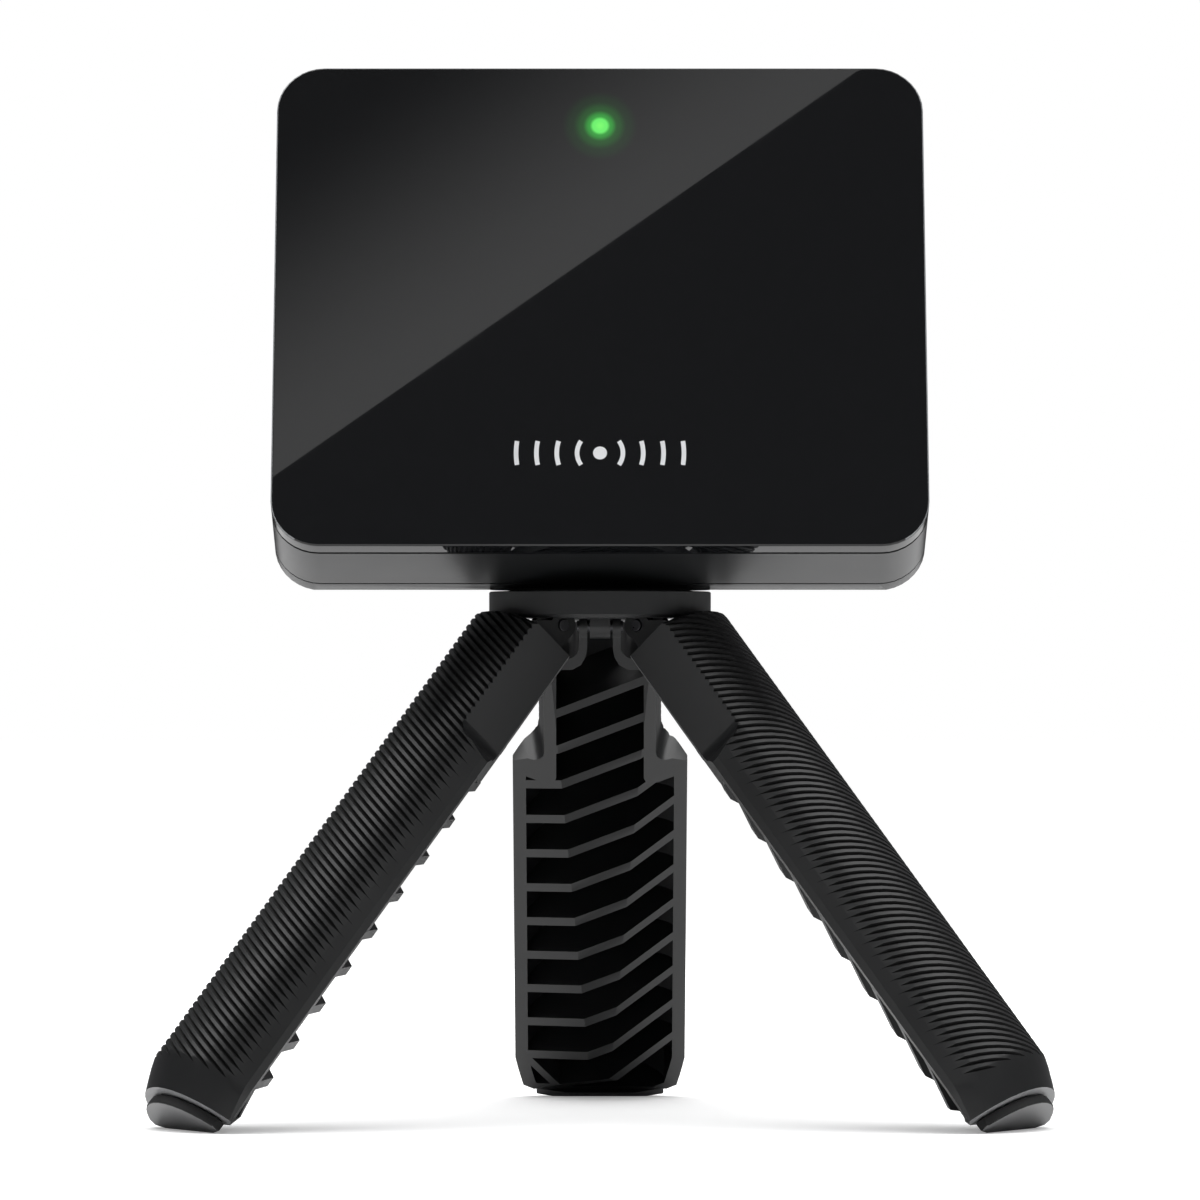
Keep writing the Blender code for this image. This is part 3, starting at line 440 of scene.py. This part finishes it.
def arc_band(bm, centre, radius, width, start, end, place, lift, steps=14):
    """Flat curved bar between two angles, on the plane that place maps to."""
    rows = []
    for depth in (lift, -lift):
        inner, outer = [], []
        for i in range(steps + 1):
            t = start + (end - start) * i / steps
            for ring, r in ((inner, radius - width / 2), (outer, radius + width / 2)):
                ring.append(place(centre[0] + r * math.cos(t), centre[1] + r * math.sin(t), depth))
        rows.append(inner + outer[::-1])
    skin(bm, rows)


def disc(bm, centre, radius, place, lift, steps=20):
    """Flat dot on the plane that place maps to."""
    rings = []
    for depth in (lift, -lift):
        ring = []
        for i in range(steps):
            t = 2 * math.pi * i / steps
            ring.append(place(centre[0] + radius * math.cos(t), centre[1] + radius * math.sin(t), depth))
        rings.append(ring)
    skin(bm, rings)


def on_window(x, z, lift):
    """A place on the window, from the middle of its lower edge."""
    return HEAD @ Vector((x, -lift, z))


def front_mark(surface):
    """A plain radar sign low on the window: a dot with waves to both sides."""
    bm = bmesh.new()
    centre = (0.0, MARK_Z)
    disc(bm, centre, MARK_DOT_R, on_window, PRINT_LIFT)
    for side in (0.0, math.pi):
        for i in range(MARK_WAVES):
            reach = MARK_FIRST_R + MARK_STEP * i
            half = math.asin(MARK_HALF_HEIGHT / reach)
            arc_band(bm, centre, reach, MARK_BAR, side - half, side + half, on_window, PRINT_LIFT)
    made = put("front_mark", closed_mesh("front_mark", bm), "head", surface)
    polish(made, 30.0)


def power_sign(surface):
    """The usual ring and bar, printed on the button."""
    top = HEAD @ Vector((SIGN_X, SIGN_Y, HEAD_H + SIGN_ABOVE))

    def on_button(x, y, lift):
        return top + HEAD.to_3x3() @ Vector((x, -y, lift))

    bm = bmesh.new()
    start = math.pi / 2 + SIGN_GAP
    arc_band(bm, (0.0, 0.0), SIGN_R, SIGN_LINE, start, start + 2 * (math.pi - SIGN_GAP),
             on_button, PRINT_LIFT, 26)
    arc_band(bm, (0.0, SIGN_BAR_TOP - SIGN_BAR_R), SIGN_BAR_R, SIGN_BAR_LENGTH,
             math.pi / 2 - SIGN_BAR_TURN, math.pi / 2 + SIGN_BAR_TURN, on_button, PRINT_LIFT, 2)
    made = put("power_sign", closed_mesh("power_sign", bm), "button", surface)
    polish(made, 30.0)


# ---- surfaces -------------------------------------------------------------------------------
def dress():
    """Gives every node its material, and its finer shape where it shows."""
    housing = moulded("housing_plastic", (0.0120, 0.0126, 0.0132), 0.33, 3200.0, 0.006 * MM, 0.04)
    leg = moulded("leg_plastic", (0.0074, 0.0077, 0.0081), 0.40, 2600.0, 0.010 * MM)
    # leg end: the pale grey base is painted light, the floor's reflection on the down-facing end faces
    leg_end_painted_light = moulded("leg_end_painted_light", (0.240, 0.242, 0.246), 0.40, 2600.0, 0.010 * MM)
    # groove walls: the darker, duller base is painted shade for the grooves' depth
    groove_dark_shade = moulded("groove_painted_shade", (0.0020, 0.0020, 0.0021), 0.60, 2600.0, 0.010 * MM, 0.06, 0.15)
    hub = moulded("hub_plastic", (0.0110, 0.0114, 0.0119), 0.38, 2600.0, 0.010 * MM)
    rubber = moulded("sole_rubber", (0.0105, 0.0105, 0.0108), 0.62, 1500.0, 0.02 * MM, 0.08, 0.35)
    # sole tread: the pale base is painted light, the floor's bounce on the down-facing faces
    tread = moulded("sole_tread", (0.150, 0.150, 0.152), 0.38, 1500.0, 0.01 * MM, 0.06, 0.7)
    seal = moulded("seal_rubber", (0.0090, 0.0090, 0.0092), 0.60, 1500.0, 0.02 * MM, 0.08, 0.35)
    button = moulded("button_plastic", (0.0170, 0.0176, 0.0182), 0.36, 3200.0, 0.006 * MM, 0.04)
    glass = window_glass("gloss_window")
    # window bevel: the light grey base is a painted highlight along the side edges
    arris = moulded("painted_edge_highlight", (0.30, 0.31, 0.32), 0.35, 3200.0, 0.003 * MM)
    steel = metal("steel", (0.56, 0.57, 0.58), 0.28)
    dark_steel = metal("dark_steel", (0.075, 0.075, 0.080), 0.34)
    brass = metal("insert_brass", (0.62, 0.45, 0.18), 0.30)
    copper = metal("antenna_copper", (0.55, 0.30, 0.15), 0.35)
    foil = metal("battery_foil", (0.42, 0.43, 0.45), 0.40)
    board = moulded("circuit_board", (0.010, 0.075, 0.035), 0.40, 900.0, 0.01 * MM)
    lens = moulded("light_lens", (0.10, 0.80, 0.15), 0.20, 2600.0, 0.002 * MM)
    mark = moulded("mark_print", (0.80, 0.81, 0.82), 0.50, 3200.0, 0.003 * MM)
    sign = moulded("sign_print", (0.30, 0.31, 0.32), 0.50, 3200.0, 0.003 * MM)

    window = refined("front_window", glass, 0.05 * MM)
    painted_edge_highlight(window, arris)
    refined("mid_housing", housing, 0.12 * MM)
    refined("rear_cover", housing, 0.16 * MM)
    refined("tripod_hub", hub, 0.14 * MM)
    refined("port_flap", seal, 0.12 * MM)
    refined("power_button", button, 0.18 * MM, 3)
    for tag in LEG_AZIMUTHS:
        finished_leg(tag, leg, groove_dark_shade, leg_end_painted_light)
        sole = refined(f"sole_{tag}", rubber, 0.14 * MM)
        tread_painted_light(sole, tread)
        refined(f"hinge_pin_{tag}", dark_steel, 0.10 * MM)
    for tag in ("top_left", "top_right", "bottom_left", "bottom_right"):
        refined(f"cover_screw_{tag}", dark_steel, 0.0)

    plain = {"perimeter_seal": seal, "friction_pad": seal, "thread_insert": brass,
             "tripod_screw": steel, "radar_board": board, "radar_antenna": copper,
             "radar_shield": steel, "status_led": lens, "light_guide": lens,
             "battery_tray": housing, "battery_pack": foil, "power_switch": steel,
             "charging_port": steel}
    for node, surface in plain.items():
        mesh = NODES[node].data
        mesh.materials.clear()
        mesh.materials.append(surface)
    front_mark(mark)
    power_sign(sign)


# ---- studio ---------------------------------------------------------------------------------
ROOM_COLOR = (0.10, 0.10, 0.104)     # what the object sees round the softbox
LENS_MM = 236.42
SENSOR_MM = 36.0
CAMERA_PLACE = Vector((0, TRIPOD_Y - 1080.53 * MM, 55.51 * MM))
CAMERA_PITCH = 0.01436
SOFTBOX_PLACE = Vector((0, 0.1, 1.5))
SOFTBOX_W = 2.8
SOFTBOX_D = 2.0
SOFTBOX_RADIANCE = 3.1
FLOOR_SIZE = 30.0
FLOOR_FADE = (0.35, 0.9)             # from here to here the paper turns dark
FLOOR_RISE = (0.22, 0.70)            # and from here to here the sheet behind takes over


def camera():
    """The photo's camera: far off, a little below half the object's height, turned up slightly."""
    data = bpy.data.cameras.new("camera")
    data.lens = LENS_MM
    data.sensor_width = SENSOR_MM
    data.clip_start = 0.05
    data.clip_end = 50.0
    made = bpy.data.objects.new("camera", data)
    made.location = CAMERA_PLACE
    made.rotation_euler = (math.pi / 2 + CAMERA_PITCH, 0, 0)
    bpy.context.scene.collection.objects.link(made)
    bpy.context.scene.camera = made


def softbox():
    """Softbox overhead, facing down; radiance is its brightness as seen."""
    data = bpy.data.lights.new("overhead", "AREA")
    data.shape = "RECTANGLE"
    data.size = SOFTBOX_W
    data.size_y = SOFTBOX_D
    data.energy = SOFTBOX_RADIANCE * math.pi * SOFTBOX_W * SOFTBOX_D
    made = bpy.data.objects.new("overhead", data)
    made.location = SOFTBOX_PLACE
    made.visible_camera = False
    bpy.context.scene.collection.objects.link(made)


def floor():
    """Pale floor that runs out into the white behind it, which the object doesn't mirror."""
    bpy.ops.mesh.primitive_plane_add(size=FLOOR_SIZE)
    made = bpy.context.object
    made.name = "floor"
    surface, tree, shader, place = new_material("floor_paper")
    shader.inputs["Roughness"].default_value = 0.9
    shader.inputs["Specular IOR Level"].default_value = 0.1
    away = tree.nodes.new("ShaderNodeVectorMath")
    away.operation = "LENGTH"
    tree.links.new(place, away.inputs[0])
    rise = span(tree, away.outputs["Value"], 0.0, 1.0, *FLOOR_RISE)
    sheet = tint(tree, rise, (0.30, 0.30, 0.30), (1.0, 1.0, 1.0))
    tree.links.new(sheet, shader.inputs["Emission Color"])
    spread = span(tree, away.outputs["Value"], 0.0, 1.0, *FLOOR_FADE)
    paper = tint(tree, spread, (0.93, 0.93, 0.93), (0.08, 0.08, 0.08))
    tree.links.new(paper, shader.inputs["Base Color"])
    path = tree.nodes.new("ShaderNodeLightPath")
    tree.links.new(path.outputs["Is Camera Ray"], shader.inputs["Emission Strength"])
    made.data.materials.append(surface)


def world():
    """White sheet behind the object, and a dim room for what the object mirrors."""
    made = bpy.data.worlds.new("studio")
    bpy.context.scene.world = made
    made.use_nodes = True
    tree = made.node_tree
    tree.nodes.clear()
    out = tree.nodes.new("ShaderNodeOutputWorld")
    mix = tree.nodes.new("ShaderNodeMixShader")
    room, sheet = tree.nodes.new("ShaderNodeBackground"), tree.nodes.new("ShaderNodeBackground")
    room.inputs["Color"].default_value = (*ROOM_COLOR, 1.0)
    sheet.inputs["Color"].default_value = (1.0, 1.0, 1.0, 1.0)
    path = tree.nodes.new("ShaderNodeLightPath")
    tree.links.new(path.outputs["Is Camera Ray"], mix.inputs["Fac"])
    tree.links.new(room.outputs["Background"], mix.inputs[1])
    tree.links.new(sheet.outputs["Background"], mix.inputs[2])
    tree.links.new(mix.outputs["Shader"], out.inputs["Surface"])


def mirrored(x, z):
    """A place on the window, and where a ray from the camera goes after it."""
    place = HEAD @ Vector((x, 0, z))
    view = (place - CAMERA_PLACE).normalized()
    normal = HEAD.to_3x3() @ Vector((0, -1, 0))
    return place, view - 2 * view.dot(normal) * normal


CARD_FAR = 1.0
CARD_EDGE = ((-44.45 * MM, 9.8 * MM), (36.1 * MM, 71.1 * MM))    # where the window shows its edge
CARD_LENGTH = 1.5
CARD_DEPTH = 0.9
CARD_BRIGHT, CARD_DIM = 1.12, 0.10
CARD_FALL = 0.072                    # from its edge inward it dims over this much


def card_place():
    """Where the card hangs: its long edge along x, its depth along y, facing z."""
    start, middle_ray = mirrored(0.0, HEAD_H / 2)
    centre = start + middle_ray * CARD_FAR
    hits = []
    for x, z in (*CARD_EDGE, (-HEAD_W / 2, HEAD_H)):
        place, ray = mirrored(x, z)
        reach = (centre - place).dot(middle_ray) / ray.dot(middle_ray)
        hits.append(place + ray * reach)
    low, high, corner = hits
    along = (high - low).normalized()
    inward = (corner - low) - (corner - low).dot(along) * along
    inward.normalize()
    axes = Matrix((along, inward, along.cross(inward))).transposed().to_4x4()
    return Matrix.Translation((low + high) / 2) @ axes


def card_light():
    """White light, brightest at the card's edge."""
    surface = bpy.data.materials.new("card_light")
    surface.use_nodes = True
    tree = surface.node_tree
    tree.nodes.clear()
    out = tree.nodes.new("ShaderNodeOutputMaterial")
    lit = tree.nodes.new("ShaderNodeEmission")
    place = tree.nodes.new("ShaderNodeTexCoord")
    split = tree.nodes.new("ShaderNodeSeparateXYZ")
    tree.links.new(place.outputs["Object"], split.inputs["Vector"])
    fall = span(tree, split.outputs["Y"], CARD_BRIGHT, CARD_DIM, 0.0, CARD_FALL)
    fall.node.interpolation_type = "SMOOTHSTEP"
    tree.links.new(fall, lit.inputs["Strength"])
    tree.links.new(lit.outputs["Emission"], out.inputs["Surface"])
    return surface


def window_card():
    """Big graded card up in front, whose straight edge the window mirrors as a diagonal."""
    half = CARD_LENGTH / 2
    outline = ((-half, 0, 0), (half, 0, 0), (half, CARD_DEPTH, 0), (-half, CARD_DEPTH, 0))
    mesh = bpy.data.meshes.new("window_card")
    mesh.from_pydata(outline, [], [(0, 1, 2, 3)])
    mesh.materials.append(card_light())
    made = bpy.data.objects.new("window_card", mesh)
    made.matrix_world = card_place()
    made.visible_camera = False
    made.visible_diffuse = False
    made.visible_shadow = False
    bpy.context.scene.collection.objects.link(made)


def studio():
    """Camera, pale floor, white surroundings and soft light."""
    camera()
    floor()
    world()
    window_card()
    softbox()
    bpy.context.scene.view_settings.view_transform = "Standard"


dress()
studio()
